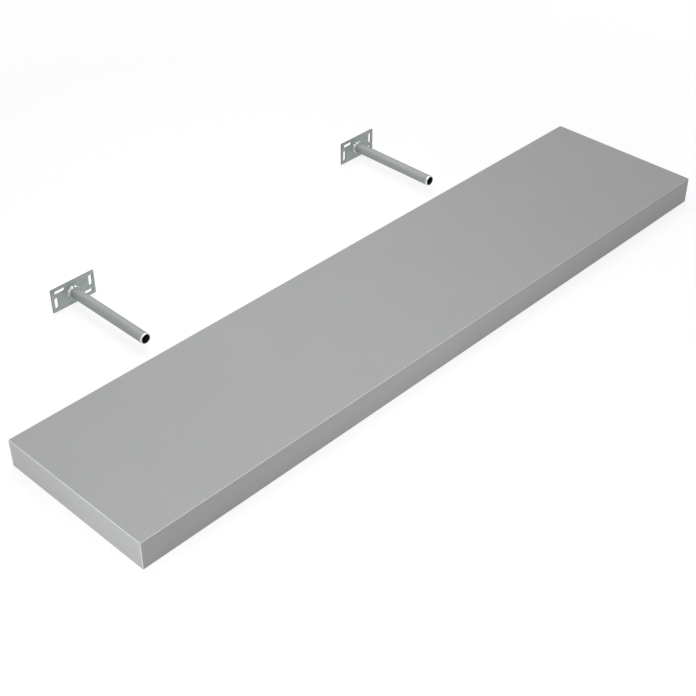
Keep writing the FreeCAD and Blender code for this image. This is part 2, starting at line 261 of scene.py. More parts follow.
# %% Raw fibreboard
FIBRE_MM = 1.2
FIBRE_DEPTH_MM = 0.2
FIBRE_DARK = "#7d5d3f"
FIBRE_LIGHT = "#b08a61"


def dress(node_names, material):
    """Gives CAD nodes that keep their shape a finish."""
    for name in node_names:
        nodes[name].data.materials.clear()
        nodes[name].data.materials.append(material)
    print(material.name, "on", ", ".join(node_names))


raw_fibreboard, fibre_face, place = new_material("raw_fibreboard", IOR=1.45, Roughness=0.9)
fibre = add_node(raw_fibreboard, "ShaderNodeTexNoise",
                 {"Scale": repeats(FIBRE_MM), "Detail": 6.0, "Roughness": 0.7}, {"Vector": place})
fibre_tone = add_node(raw_fibreboard, "ShaderNodeMix",
                      {"data_type": "RGBA", 6: linear(FIBRE_DARK), 7: linear(FIBRE_LIGHT)},
                      {0: fibre.outputs[0]})
fibre_relief = add_node(raw_fibreboard, "ShaderNodeBump",
                        {"Strength": 0.6, "Distance": FIBRE_DEPTH_MM * MM},
                        {"Height": fibre.outputs[0]})
feed(raw_fibreboard, fibre_face, Base_Color=fibre_tone.outputs[2], Normal=fibre_relief.outputs[0])
dress(("front_rail", "rear_rail", "left_end_rail", "right_end_rail", "left_cross_rail",
       "right_cross_rail"), raw_fibreboard)

# %% [markdown]
# ## Kraft paper
# The honeycomb between the rails is brown kraft paper, dull, with soft clouds where the pulp lay
# thicker. The closed board hides it, so it could be left plain. But the model can be opened, so it gets
# a finish of its own.

# %% Kraft paper
PULP_MM = 4
PULP_DEPTH_MM = 0.05
KRAFT_DARK = "#a47e54"
KRAFT_LIGHT = "#c9a577"

kraft_paper, paper_face, place = new_material("kraft_paper", IOR=1.45, Roughness=0.95)
pulp = add_node(kraft_paper, "ShaderNodeTexNoise",
                {"Scale": repeats(PULP_MM), "Detail": 5.0, "Roughness": 0.65}, {"Vector": place})
pulp_tone = add_node(kraft_paper, "ShaderNodeMix",
                     {"data_type": "RGBA", 6: linear(KRAFT_DARK), 7: linear(KRAFT_LIGHT)},
                     {0: pulp.outputs[0]})
pulp_relief = add_node(kraft_paper, "ShaderNodeBump", {"Strength": 0.4, "Distance": PULP_DEPTH_MM * MM},
                       {"Height": pulp.outputs[0]})
feed(kraft_paper, paper_face, Base_Color=pulp_tone.outputs[2], Normal=pulp_relief.outputs[0])
dress(("left_core", "centre_core", "right_core"), kraft_paper)

# %% [markdown]
# ## Zinc-plated steel
# Plates and tubes are mild steel with a thin coat of electroplated zinc, passivated clear. That gives a
# cool grey, slightly green metal with a soft gloss. Two patterns break it up: the bath leaves patches a
# few millimetres across that differ a little in gloss, and rolling or drawing leaves fine lines along
# the steel. The lines are drawn 0.5 and 1.5 mm apart, because the real ones are too fine to show. A
# metal's colour is its reflection, so the base colour is the zinc's grey and roughness does the rest.
# Its specular tint is the colour it takes near grazing angles; a dark one gives the drawn tube its dark
# rims. Zinc grows in small crystals, so part of the light is scattered as by paint, and metallic may be
# a little under one. Four surfaces share all of this, so a function makes the finish and takes what
# differs.

# %% A finish for plated steel
PATCH_MM = 7
LINE_DEPTH_MM = 0.02
GRAZING_TINT = "#9aa2a0"


def zinc_finish(name, dark, light, line_scale, patch_share, smooth, rough, metallic, relief):
    """Zinc plating over steel whose rolled or drawn lines are stretched by line_scale."""
    material, metal, place = new_material(name, Metallic=metallic, Specular_Tint=linear(GRAZING_TINT))
    patches = add_node(material, "ShaderNodeTexNoise", {"Scale": repeats(PATCH_MM), "Detail": 4.0},
                       {"Vector": place})
    stretched = add_node(material, "ShaderNodeMapping", {"Scale": line_scale}, {"Vector": place})
    lines = add_node(material, "ShaderNodeTexNoise", {"Scale": 1.0, "Detail": 2.0},
                     {"Vector": stretched.outputs[0]})
    mixed = add_node(material, "ShaderNodeMix", {"data_type": "FLOAT", 0: patch_share},
                     {2: lines.outputs[0], 3: patches.outputs[0]})
    spread = add_node(material, "ShaderNodeMapRange", {"From Min": NOISE_LOW, "From Max": NOISE_HIGH},
                      {"Value": mixed.outputs[0]})
    colour = add_node(material, "ShaderNodeMix", {"data_type": "RGBA", 6: linear(dark), 7: linear(light)},
                      {0: spread.outputs[0]})
    gloss = add_node(material, "ShaderNodeMapRange", {"To Min": smooth, "To Max": rough},
                     {"Value": spread.outputs[0]})
    scratches = add_node(material, "ShaderNodeBump", {"Strength": relief, "Distance": LINE_DEPTH_MM * MM},
                         {"Height": lines.outputs[0]})
    feed(material, metal, Base_Color=colour.outputs[2], Roughness=gloss.outputs[0],
         Normal=scratches.outputs[0])
    print(name, "with patches of", PATCH_MM, "mm")
    return material


# %% [markdown]
# ## Strip, sheared edge, tube and rim
# The plates are cut from rolled strip, whose lines run level. Where the shear and the punch went
# through, the edge is coarse and dark. The tube was drawn through a die, so its lines run along it and
# it is duller. Its end was deburred on a wheel, which leaves a bright rim; its pale tone here is partly
# that bare steel and partly a painted highlight. A line's scale is small along the line and large across
# it, and that alone turns the pattern.

# %% Strip, sheared edge, tube and rim
ROLL_LINE_MM = 0.5
DRAW_LINE_MM = 1.5
LINE_LENGTH_MM = 60
rolled = repeats(ROLL_LINE_MM)
drawn = repeats(DRAW_LINE_MM)
along_line = repeats(LINE_LENGTH_MM)

zinc_strip = zinc_finish("zinc_plated_strip", "#9ca5a2", "#bbc3c0", (along_line, rolled, rolled),
                         patch_share=0.5, smooth=0.55, rough=0.68, metallic=0.7, relief=0.15)
zinc_sheared = zinc_finish("zinc_plated_sheared_edge", "#6c7270", "#838a87", (rolled, along_line, rolled),
                           patch_share=0.4, smooth=0.5, rough=0.65, metallic=1.0, relief=0.3)
zinc_tube = zinc_finish("zinc_plated_tube", "#9a9e9d", "#aeb1b0", (drawn, along_line, drawn),
                        patch_share=0.2, smooth=0.65, rough=0.75, metallic=0.9, relief=0.05)
# The bright tones are partly bare deburred steel and partly a painted highlight on the rim.
bright_rim_highlight = zinc_finish("deburred_steel_highlight", "#d3d7d5", "#eceeed", (rolled, rolled, rolled),
                         patch_share=0.5, smooth=0.2, rough=0.32, metallic=1.0, relief=0.1)

# %% [markdown]
# ## Weld metal
# A weld freezes from liquid metal, so it is smooth and shiny: grey where it mirrors the room, white
# where it mirrors a lamp. Silicon from the wire floats up and sets in small glassy islands. The zinc
# doesn't take there, so they stay nearly black. They could be modelled as small caps, but they lie flush
# in the bead, so they are drawn: the peaks of a noise, cut off sharply. They are drawn at 2.2 mm, about
# twice their real size, so that they show.

# %% Weld metal
ISLAND_MM = 2.2
SHORE_LOW = 0.58
SHORE_HIGH = 0.66
WELD_GREY = "#c8cecb"
ISLAND_BLACK = "#1b1d1c"

zinc_weld, bead_face, place = new_material("zinc_plated_weld", Metallic=1.0)
islands = add_node(zinc_weld, "ShaderNodeTexNoise", {"Scale": repeats(ISLAND_MM), "Detail": 2.0},
                   {"Vector": place})
shore = add_node(zinc_weld, "ShaderNodeMapRange", {"From Min": SHORE_LOW, "From Max": SHORE_HIGH},
                 {"Value": islands.outputs[0]})
weld_tone = add_node(zinc_weld, "ShaderNodeMix",
                     {"data_type": "RGBA", 6: linear(WELD_GREY), 7: linear(ISLAND_BLACK)},
                     {0: shore.outputs[0]})
weld_gloss = add_node(zinc_weld, "ShaderNodeMapRange", {"To Min": 0.22, "To Max": 0.4},
                      {"Value": shore.outputs[0]})
feed(zinc_weld, bead_face, Base_Color=weld_tone.outputs[2], Roughness=weld_gloss.outputs[0])
print("weld metal: dark islands of", ISLAND_MM, "mm")

# %% [markdown]
# ## Mill scale
# The plating bath hardly reaches into a narrow tube, so the bore keeps the dark oxide skin that hot
# rolling left: nearly black, dull, with small rusty patches. A plain black would look like a painted
# disc, so the patches get a little relief too.

# %% Mill scale
FLAKE_MM = 3
FLAKE_DEPTH_MM = 0.1
SCALE_BLACK = "#121314"
SCALE_RUSTY = "#2a2725"

mill_scale, oxide, place = new_material("mill_scale", IOR=1.5, Roughness=0.7)
flakes = add_node(mill_scale, "ShaderNodeTexNoise", {"Scale": repeats(FLAKE_MM), "Detail": 4.0},
                  {"Vector": place})
oxide_tone = add_node(mill_scale, "ShaderNodeMix",
                      {"data_type": "RGBA", 6: linear(SCALE_BLACK), 7: linear(SCALE_RUSTY)},
                      {0: flakes.outputs[0]})
flake_relief = add_node(mill_scale, "ShaderNodeBump", {"Strength": 0.4, "Distance": FLAKE_DEPTH_MM * MM},
                        {"Height": flakes.outputs[0]})
feed(mill_scale, oxide, Base_Color=oxide_tone.outputs[2], Normal=flake_relief.outputs[0])
print("mill scale: flakes of", FLAKE_MM, "mm")

# %% [markdown]
# ## Finishing a piece
# Each piece below takes the place of a CAD node, so the helper that finishes a piece says three things:
# the body it moves with, the node it stands for and the finishes it is given. It also marks sharp edges,
# so that smooth shading stops there. The editor has a modifier for that, but an edge that is marked in
# the mesh stays marked in every export.

# %% Finishing a piece
CREASE_ANGLE = math.radians(50)


def finish_piece(work, name, materials, node):
    """Turns a bmesh into a piece that stands for a CAD node and moves with that node's body."""
    for e in work.edges:
        if e.calc_face_angle(0.0) > CREASE_ANGLE:
            e.smooth = False
    mesh = bpy.data.meshes.new(name)
    work.to_mesh(mesh)
    work.free()
    for material in materials:
        mesh.materials.append(material)
    piece = bpy.data.objects.new(name, mesh)
    bpy.context.scene.collection.objects.link(piece)
    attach(piece, nodes[node]["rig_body"])
    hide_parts(node)
    print(name, "stands for", node, "with", len(mesh.polygons), "faces")


print("edges sharper than", round(math.degrees(CREASE_ANGLE)), "degrees are creased")

# %% [markdown]
# ## Starting from a box
# A piece must stay where its node is. Sizes could be typed in again, but they would be wrong as soon as
# the CAD model changes, so a flat piece starts as a cube that is stretched over its node's box. Only
# what a box can't tell, such as the length of a slot, is typed in below. Edges are found by the planes
# they lie in, which is safer than by number.

# %% Starting from a box
X, Y, Z = 0, 1, 2
ON_PLANE = 0.01 * MM


def block_over(node):
    """A cube stretched over a CAD node's box, with the box's corners."""
    low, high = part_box(node)
    work = bmesh.new()
    bmesh.ops.create_cube(work, size=1.0)
    bmesh.ops.scale(work, vec=high - low, verts=work.verts)
    bmesh.ops.translate(work, vec=(low + high) / 2, verts=work.verts)
    return work, low, high


def edges_at(work, *planes):
    """The edges that lie in every one of the planes, each an axis number and a place along it."""
    return [e for e in work.edges
            if all(abs(v.co[axis] - place) < ON_PLANE for v in e.verts for axis, place in planes)]


print("an edge counts as in a plane within", ON_PLANE / MM, "mm")

# %% [markdown]
# ## Rounding edges
# No real edge is perfectly sharp, and a rounded one catches the light as a thin line. A Bevel modifier
# would do it, but the bmesh operator hands back the new faces, so they can get a finish of their own.
# The rounding is shaded smooth and its border is creased, or the shading would spill over the large flat
# faces beside it.

# %% Rounding edges


def bevel(work, edges, width_mm, segments):
    """Rounds edges and shades the new faces smooth up to their border. Returns the new faces."""
    made = bmesh.ops.bevel(work, geom=edges, offset=width_mm * MM, offset_type="OFFSET",
                           segments=segments, profile=0.5, affect="EDGES", material=-1,
                           clamp_overlap=True)
    rounding = set(made["faces"])
    for f in rounding:
        f.smooth = segments > 1
        for e in f.edges:
            if any(beside not in rounding for beside in e.link_faces):
                e.smooth = False
    return rounding


print("helper for rounded edges ready")

# %% [markdown]
# ## Panels
# The panels are sawn sheets, and where band and panel meet the eye finds a hairline. A dark line could
# be painted there, but a real groove looks right in any light. So the outer edges of each panel get an
# arris of 0.1 mm, one flat facet, which leaves that groove beside the band.

# %% Panels
ARRIS_MM = 0.1

for name, node, outside in (("faced_top", "top_panel", 1), ("faced_underside", "bottom_panel", 0)):
    work, low, high = block_over(node)
    outer_face = (low, high)[outside][Z]
    bevel(work, edges_at(work, (Z, outer_face)), ARRIS_MM, segments=1)
    finish_piece(work, name, [grey_melamine], node)

# %% [markdown]
# ## Front and end bands
# The bands are glued on, trimmed flush and cut round at their outer edges, 1.2 mm here. That rounding
# draws the thin bright line round the shelf, together with the scraped finish, whose pale tone is partly
# a painted highlight. Only its middle is pale: its first and last strips lie almost flat against the
# faces beside them and keep the band's grey. So the scraped finish goes by lean: a face that leans away
# from all three axes gets it.

# %% Front and end bands
BAND_ROUND_MM = 1.2
BAND_ROUND_SEGMENTS = 6
# The scraped finish picked out here has a pale tone that is partly a painted highlight.
SCRAPED_LEAN = math.radians(15)
SCRAPED = 1


def long_edges(work, x_places, low, high):
    """The edges that run from front to rear at these places, at the top and at the bottom."""
    return [e for x in x_places for z in (low.z, high.z) for e in edges_at(work, (X, x), (Z, z))]


def round_band(work, edges):
    """Rounds a band's edges and marks the middle of the rounding as scraped, a finish that is partly a
    painted highlight.
    """
    for f in bevel(work, edges, BAND_ROUND_MM, BAND_ROUND_SEGMENTS):
        if max(abs(c) for c in f.normal) < math.cos(SCRAPED_LEAN):
            f.material_index = SCRAPED


work, low, high = block_over("front_edge_band")
round_band(work, edges_at(work, (Y, low.y)) + long_edges(work, (low.x, high.x), low, high))
finish_piece(work, "front_band", [grey_abs, scraped_abs_highlight], "front_edge_band")
for name, outside in (("left", 0), ("right", 1)):
    work, low, high = block_over(f"{name}_edge_band")
    round_band(work, long_edges(work, [(low, high)[outside].x], low, high))
    finish_piece(work, f"{name}_band", [grey_abs, scraped_abs_highlight], f"{name}_edge_band")

# %% [markdown]
# ## Flat sheets with holes
# The rear band and the wall plates are flat sheets with holes. A Boolean could cut the holes from a
# block, but it needs cutters and leaves thin faces to clean up. Here the outline and the rims of the
# holes are laid out as loops in one plane and filled between, and the sheet is then extruded to its
# thickness.

# %% Flat sheets with holes


def rectangle_loop(work, low, high):
    """The outline of a box, drawn at its wall side. Returns its corners and its edges."""
    places = ((low.x, low.z), (high.x, low.z), (high.x, high.z), (low.x, high.z))
    corners = [work.verts.new((x, high.y, z)) for x, z in places]
    return corners, [work.edges.new((corners[n - 1], corners[n])) for n in range(len(corners))]


def upright_loop(work, verts):
    """The edges of a circle that was made lying flat, after it is turned upright to face the wall."""
    bmesh.ops.rotate(work, cent=(0, 0, 0), matrix=Matrix.Rotation(math.pi / 2, 3, "X"), verts=verts)
    return list(dict.fromkeys(e for v in verts for e in v.link_edges))


def flat_sheet(work, loops, thickness):
    """Fills loops in the wall's plane and extrudes the sheet. Returns its front vertices."""
    bmesh.ops.triangle_fill(work, use_beauty=True, use_dissolve=False, edges=loops, normal=(0, 1, 0))
    grown = bmesh.ops.extrude_face_region(work, geom=work.faces[:], use_keep_orig=True)
    front = [v for v in grown["geom"] if isinstance(v, bmesh.types.BMVert)]
    bmesh.ops.translate(work, vec=(0, -thickness, 0), verts=front)
    bmesh.ops.recalc_face_normals(work, faces=work.faces[:])
    return front


print("helpers for flat sheets ready")

# %% [markdown]
# ## Rear edge band
# The rear band has two holes, where the drill for the sockets went through it with a countersink. The
# sheet is made with two round holes of the countersink's mouth, and the far rims of the holes are then
# drawn in, as far as the band is thick, which gives the 45 degree cone.

# %% Rear edge band
SOCKET_MOUTH_MM = 13.0
ROUND_STEPS = 64
tube_low, tube_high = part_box("right_support_tube")
TUBE_X = (tube_low.x + tube_high.x) / 2

low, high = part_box("rear_edge_band")
thickness = high.y - low.y
mouth = SOCKET_MOUTH_MM * MM
work = bmesh.new()
_, loops = rectangle_loop(work, low, high)
for side in (-1, 1):
    made = bmesh.ops.create_circle(work, cap_ends=False, radius=mouth, segments=ROUND_STEPS)
    loops += upright_loop(work, made["verts"])
    bmesh.ops.translate(work, vec=(side * TUBE_X, high.y, 0), verts=made["verts"])
inner_verts = flat_sheet(work, loops, thickness)
shrink = 1 - thickness / mouth
for side in (-1, 1):
    centre = Vector((side * TUBE_X, low.y, 0))
    rim = [v for v in inner_verts if (v.co - centre).length < 2 * mouth]
    bmesh.ops.scale(work, vec=(shrink, 1, shrink), space=Matrix.Translation(-centre), verts=rim)
sides = ((X, low.x), (X, high.x), (Z, low.z), (Z, high.z))
outline = [e for plane in sides for e in edges_at(work, (Y, high.y), plane)]
round_band(work, outline + long_edges(work, (low.x, high.x), low, high))
finish_piece(work, "rear_band", [grey_abs, scraped_abs_highlight], "rear_edge_band")

# %% [markdown]
# ## Screw slots
# Each plate has four slots, so that a screw that sits a little off still finds its place. A slot's
# outline could be typed in as two arcs and two lines. It is quicker to make a circle and to move its two
# halves apart: the vertices on the middle line stay, and the straight sides come by themselves.

# %% Outline of a slot
SLOT_LENGTH_MM = 18
SLOT_WIDTH_MM = 6
OFF_MIDDLE = 1e-7


def slot_loop(work, turn, spot):
    """A round-ended slot, level or turned upright, drawn at its place in the wall's plane."""
    radius = SLOT_WIDTH_MM / 2 * MM
    apart = (SLOT_LENGTH_MM - SLOT_WIDTH_MM) / 2 * MM
    made = bmesh.ops.create_circle(work, cap_ends=False, radius=radius, segments=ROUND_STEPS)
    for way in (-1, 1):
        half = [v for v in made["verts"] if v.co.x * way > OFF_MIDDLE]
        bmesh.ops.translate(work, vec=(way * apart, 0, 0), verts=half)
    bmesh.ops.rotate(work, cent=(0, 0, 0), matrix=Matrix.Rotation(turn, 3, "Z"), verts=made["verts"])
    upright_loop(work, made["verts"])
    bmesh.ops.translate(work, vec=spot, verts=made["verts"])


print("a slot is", SLOT_LENGTH_MM, "x", SLOT_WIDTH_MM, "mm")

# %% [markdown]
# ## Places of the slots
# The slots sit in a pinwheel: a level and an upright one at each side of the plate. Four places could be
# typed in. Here two are placed from the plate's edges, and the other two are the same places after half
# a turn, so that nothing is measured twice.

# %% Places of the slots
SLOT_LINE_MM = 7
LEVEL_SLOT_END_MM = 5.5
UPRIGHT_SLOT_END_MM = 5
HALF_TURN = Matrix.Rotation(math.pi, 3, "Y")


def slot_places(low, high):
    """Where the four slots of a plate with this box sit, each with its turn."""
    level_x = (LEVEL_SLOT_END_MM + SLOT_LENGTH_MM / 2) * MM
    upright_z = (UPRIGHT_SLOT_END_MM + SLOT_LENGTH_MM / 2) * MM
    slot_line = SLOT_LINE_MM * MM
    centre = Vector(((low.x + high.x) / 2, high.y, (low.z + high.z) / 2))
    level_slot = Vector((low.x + level_x, high.y, high.z - slot_line))
    upright_slot = Vector((low.x + slot_line, high.y, low.z + upright_z))
    placed = ((level_slot, 0), (upright_slot, math.pi / 2))
    return [(spot, turn) for first, turn in placed
            for spot in (first, centre + HALF_TURN @ (first - centre))]


# %% [markdown]
# ## Wall plates
# Each plate is punched from 2 mm strip. The punch rounds the edge where it enters and leaves the far
# edge crisp. Rounding every edge would be less work, but the plate would look cast. So only the front
# rims of the outline and of the slots are rounded, and what the punch cut through gets the sheared
# finish.

# %% Wall plates
CORNER_ROUND_MM = 0.8
CORNER_ROUND_SEGMENTS = 6
PUNCH_ROUND_MM = 0.4
PUNCH_ROUND_SEGMENTS = 3
# A face lies in the wall's plane where the Y share of its normal is over FACING, and is a cut edge where it
# is under SIDEWAYS.
FACING = 0.9
SIDEWAYS = 0.5
STRIP, SHEARED = 0, 1

for name in ("left", "right"):
    low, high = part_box(f"{name}_wall_plate")
    work = bmesh.new()
    corners, _ = rectangle_loop(work, low, high)
    bmesh.ops.bevel(work, geom=corners, offset=CORNER_ROUND_MM * MM, offset_type="OFFSET",
                    segments=CORNER_ROUND_SEGMENTS, profile=0.5, affect="VERTICES", material=-1)
    for spot, turn in slot_places(low, high):
        slot_loop(work, turn, spot)
    flat_sheet(work, work.edges[:], high.y - low.y)
    front_rim = [e for e in edges_at(work, (Y, low.y))
                 if len({f.normal.y < -FACING for f in e.link_faces}) == 2]
    bevel(work, front_rim, PUNCH_ROUND_MM, PUNCH_ROUND_SEGMENTS)
    for f in work.faces:
        f.material_index = SHEARED if abs(f.normal.y) < SIDEWAYS else STRIP
    finish_piece(work, f"{name}_punched_plate", [zinc_strip, zinc_sheared],
                 f"{name}_wall_plate")

# %% [markdown]
# ## Spinning a section
# Tubes and weld beads are round, so each is a section that is spun about the tube's axis. Two cylinders,
# one inside the other, would make a tube too, but their ends would have to be joined afterwards, and a
# section can have any shape. After a full spin the last row lies on the first, so the doubles are merged
# and the normals are worked out anew.

# %% Spinning a section
FULL_TURN = 2 * math.pi
DOUBLES_MM = 0.001


def spin_round(work, section, x, steps):
    """Spins a closed section, given as radius and place along Y, round the tube's axis."""
    verts = [work.verts.new((x + radius, y, 0)) for radius, y in section]
    edges = [work.edges.new((verts[n - 1], verts[n])) for n in range(len(verts))]
    bmesh.ops.spin(work, geom=verts + edges, cent=(x, 0, 0), axis=(0, 1, 0), angle=FULL_TURN, steps=steps,
                   use_merge=True, use_duplicate=False)
    bmesh.ops.remove_doubles(work, verts=work.verts[:], dist=DOUBLES_MM * MM)
    bmesh.ops.recalc_face_normals(work, faces=work.faces[:])


print("helper for round pieces ready; the tubes stand at x =", round(TUBE_X / MM, 1), "mm on each side")

# %% [markdown]
# ## Support tubes
# A tube is its wall's section spun round the axis. The saw leaves a crisp end, which is then deburred:
# the outer rim is rounded well, so that it finds its socket, and the inner rim only a little. The rims
# could be drawn in the section, but rounded after the spin, their faces come back from the helper and
# can get the bright finish, which is partly bare steel and partly a painted highlight. The wheel that
# deburrs also polishes a narrow land round the tube's end. The land has no step to model, so a cut
# across the tube is enough to give it a finish of its own: the same bright one, with its painted highlight.

# %% Finishes of a tube
POLISHED_LAND_MM = 2.8
OUTSIDE, BORE, RIM = 0, 1, 2


def tube_finish(wall_face, axis_end):
    """Which finish a face of the tube's wall gets: the bore's, the outside's or the polished end's, partly
    a painted highlight.
    """
    spoke = wall_face.calc_center_median() - axis_end
    polished = wall_face.normal.y < -FACING or spoke.y < POLISHED_LAND_MM * MM
    spoke.y = 0
    if wall_face.normal.dot(spoke) < 0:
        return BORE
    return RIM if polished else OUTSIDE


print("polished land:", POLISHED_LAND_MM, "mm")

# %% Support tubes
TUBE_OUTER_MM = 8.0
TUBE_INNER_MM = 6.8
OUTER_RIM_MM = 0.9
OUTER_RIM_SEGMENTS = 5
INNER_RIM_MM = 0.2
INNER_RIM_SEGMENTS = 2
TUBE_STEPS = 96
outer_radius = TUBE_OUTER_MM * MM
inner_radius = TUBE_INNER_MM * MM
middle_of_wall = (outer_radius + inner_radius) / 2

for side, name in ((-1, "left"), (1, "right")):
    low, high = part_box(f"{name}_support_tube")
    axis_end = Vector((side * TUBE_X, low.y, 0))
    work = bmesh.new()
    wall = [(inner_radius, high.y), (outer_radius, high.y), (outer_radius, low.y), (inner_radius, low.y)]
    spin_round(work, wall, side * TUBE_X, TUBE_STEPS)
    bmesh.ops.bisect_plane(work, geom=work.verts[:] + work.edges[:] + work.faces[:],
                           plane_co=(0, low.y + POLISHED_LAND_MM * MM, 0), plane_no=(0, 1, 0))
    for f in work.faces:
        f.smooth = True
        f.material_index = tube_finish(f, axis_end)
    rims = [e for e in edges_at(work, (Y, low.y))
            if len({abs(f.normal.y) > FACING for f in e.link_faces}) == 2]
    outer = [e for e in rims if (e.verts[0].co - axis_end).length > middle_of_wall]
    inner = [e for e in rims if e not in outer]
    for edges, width, segments in ((outer, OUTER_RIM_MM, OUTER_RIM_SEGMENTS),
                                   (inner, INNER_RIM_MM, INNER_RIM_SEGMENTS)):
        for f in bevel(work, edges, width, segments):
            f.material_index = RIM
    finish_piece(work, f"{name}_deburred_tube", [zinc_tube, mill_scale, bright_rim_highlight],
                 f"{name}_support_tube")

# %% [markdown]
# ## How a weld swells
# A weld is laid in small pools, each freezing over the edge of the last, so a bead looks like a row of
# fallen coins, and it swells and thins as the welder's hand moves. Where the run closes on itself it is
# thickest. A noise could roughen a plain ring, but it wouldn't show the welder's path. So the swelling
# is worked out from the turn round the tube: coins in a row, a slow wave for the hand, and one lump
# where the run closes.

# %% How a weld swells
POOLS = 10
POOL_SWELL = 0.5
POOL_LEVEL = 0.76
POOL_BOW = 0.35
UNEVEN_PACE = 0.015
PACE_WAVES = 2
HAND_SWELL = 0.12
HAND_WAVES = 3
HAND_CROSS_WAVES = 5
CLOSING_TURN = 0.42
CLOSING_SPREAD = 0.12
CLOSING_LUMP = 0.35


def bead_growth(turn, bow, phase):
    """How far the bead stands out, as a share of its leg, at this share of a turn round the tube."""
    pace = turn + UNEVEN_PACE * math.sin(FULL_TURN * PACE_WAVES * turn + phase)
    pool = (pace * POOLS - POOL_BOW * bow) % 1
    coin = POOL_SWELL * (math.sin(math.pi * pool) - POOL_LEVEL)
    slow_wave = math.sin(FULL_TURN * HAND_WAVES * turn + phase)
    hand = HAND_SWELL * slow_wave * math.sin(FULL_TURN * HAND_CROSS_WAVES * turn)
    # How far the run's end is, the shorter way round.
    away = (turn - CLOSING_TURN + 0.5) % 1 - 0.5
    return 1 + coin + hand + CLOSING_LUMP * math.exp(-(away / CLOSING_SPREAD) ** 2)


at_closing = bead_growth(CLOSING_TURN, 0, 0)
print(POOLS, "pools; where the run closes, the bead is", round(at_closing, 2), "of its leg")

# %% [markdown]
# ## Weld beads
# The bead fills the corner between plate and tube. Its section, a corner with a crown over it, is spun
# round the tube. Then every vertex is drawn out from that corner, most at the middle of a pool and least
# in the groove between two. The grooves bow, because a pool freezes from its sides, so the swelling also
# depends on where a vertex lies across the crown.

# %% Weld beads
BEAD_LEG_MM = 2.5
CROWN_STEPS = 7
# A power of 1 makes the crown a quarter circle, and 2 makes it a straight chamfer.
CROWN_POWER = 1.3
STEPS_IN_POOL = 20
BEAD_PHASE = 1.3
leg = BEAD_LEG_MM * MM
quarter = [math.pi / 2 * n / CROWN_STEPS for n in range(CROWN_STEPS + 1)]

for side, name in ((-1, "left"), (1, "right")):
    low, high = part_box(f"{name}_weld_bead")
    work = bmesh.new()
    crown = [(outer_radius + leg * math.cos(t) ** CROWN_POWER, high.y - leg * math.sin(t) ** CROWN_POWER)
             for t in quarter]
    spin_round(work, [(outer_radius, high.y)] + crown, side * TUBE_X, POOLS * STEPS_IN_POOL)
    for v in work.verts:
        spoke = Vector((v.co.x - side * TUBE_X, 0, v.co.z))
        out_from_tube = spoke.length - outer_radius
        along_tube = high.y - v.co.y
        turn = math.atan2(spoke.z, spoke.x) / FULL_TURN
        bow = ((out_from_tube - along_tube) / leg) ** 2
        outward = spoke.normalized()
        corner = Vector((side * TUBE_X, high.y, 0)) + outward * outer_radius
        drawn_out = outward * out_from_tube - Vector((0, along_tube, 0))
        v.co = corner + bead_growth(turn, bow, BEAD_PHASE + side) * drawn_out
    for f in work.faces:
        f.smooth = True
    finish_piece(work, f"{name}_rippled_bead", [zinc_weld], f"{name}_weld_bead")

# %% [markdown]
# ## Rays that see the ground
# The photograph has a clean white ground. More light would make the ground white, but it would bleach
# the object too. Light Path knows why a ray was sent out, so floor and world can be white for the rays
# that look at them, from the camera or by way of a reflection or a glass, and stay modest for the light
# that they shed on the object.

# %% Rays that see the ground
WHITE = (1, 1, 1, 1)


def seen_rays(owner):
    """One for rays from the camera, a reflection or a glass, and zero for light on the object."""
    path = add_node(owner, "ShaderNodeLightPath")
    seen = add_node(owner, "ShaderNodeMath", {"operation": "ADD"},
                    {0: path.outputs["Is Camera Ray"], 1: path.outputs["Is Glossy Ray"]})
    seen_through = add_node(owner, "ShaderNodeMath", {"operation": "ADD", "use_clamp": True},
                            {0: seen.outputs[0], 1: path.outputs["Is Transmission Ray"]})
    return seen_through.outputs[0]


print("helper for the ground ready")

# %% [markdown]
# ## Floor finish
# The floor is pale matt paper. If it only glowed, the board would seem to hover, so just a share of it
# glows, and the rest keeps the soft shadow: the glow and the light on the matt part come to white
# together. The lamps reach only a few metres, so the glow grows with the distance from the board, and
# the floor is as white at the horizon as beside the shelf.

# %% Floor finish
FLOOR_WHITE = "#f4f4f4"
FLECK_MM = 3
FLECK_DEPTH_MM = 0.05
GLOW_SHARE = 0.7
GLOW_NEAR = 1.15
GLOW_FAR = 1.37
LAMPLIT_RADIUS = 0.6
DIM_RADIUS = 2.4

floor_paper, floor_face, place = new_material("floor_paper", Base_Color=linear(FLOOR_WHITE),
                                              Roughness=1.0)
fleck = add_node(floor_paper, "ShaderNodeTexNoise", {"Scale": repeats(FLECK_MM)}, {"Vector": place})
tooth = add_node(floor_paper, "ShaderNodeBump", {"Strength": 0.1, "Distance": FLECK_DEPTH_MM * MM},
                 {"Height": fleck.outputs[0]})
feed(floor_paper, floor_face, Normal=tooth.outputs[0])
distance = add_node(floor_paper, "ShaderNodeVectorMath", {"operation": "LENGTH"}, {0: place})
glow_level = add_node(floor_paper, "ShaderNodeMapRange",
                      {"From Min": LAMPLIT_RADIUS, "From Max": DIM_RADIUS,
                       "To Min": GLOW_NEAR, "To Max": GLOW_FAR},
                      {"Value": distance.outputs["Value"]})
glow = add_node(floor_paper, "ShaderNodeEmission", {"Color": WHITE}, {"Strength": glow_level.outputs[0]})
share = add_node(floor_paper, "ShaderNodeMath", {"operation": "MULTIPLY", 1: GLOW_SHARE},
                 {0: seen_rays(floor_paper)})
lit_paper = add_node(floor_paper, "ShaderNodeMixShader", {},
                     {0: share.outputs[0], 1: floor_face.outputs[0], 2: glow.outputs[0]})
output = next(n for n in floor_paper.node_tree.nodes if n.type == "OUTPUT_MATERIAL")
floor_paper.node_tree.links.new(lit_paper.outputs[0], output.inputs["Surface"])
print("floor paper: glows from", GLOW_NEAR, "near the board to", GLOW_FAR, "far off")

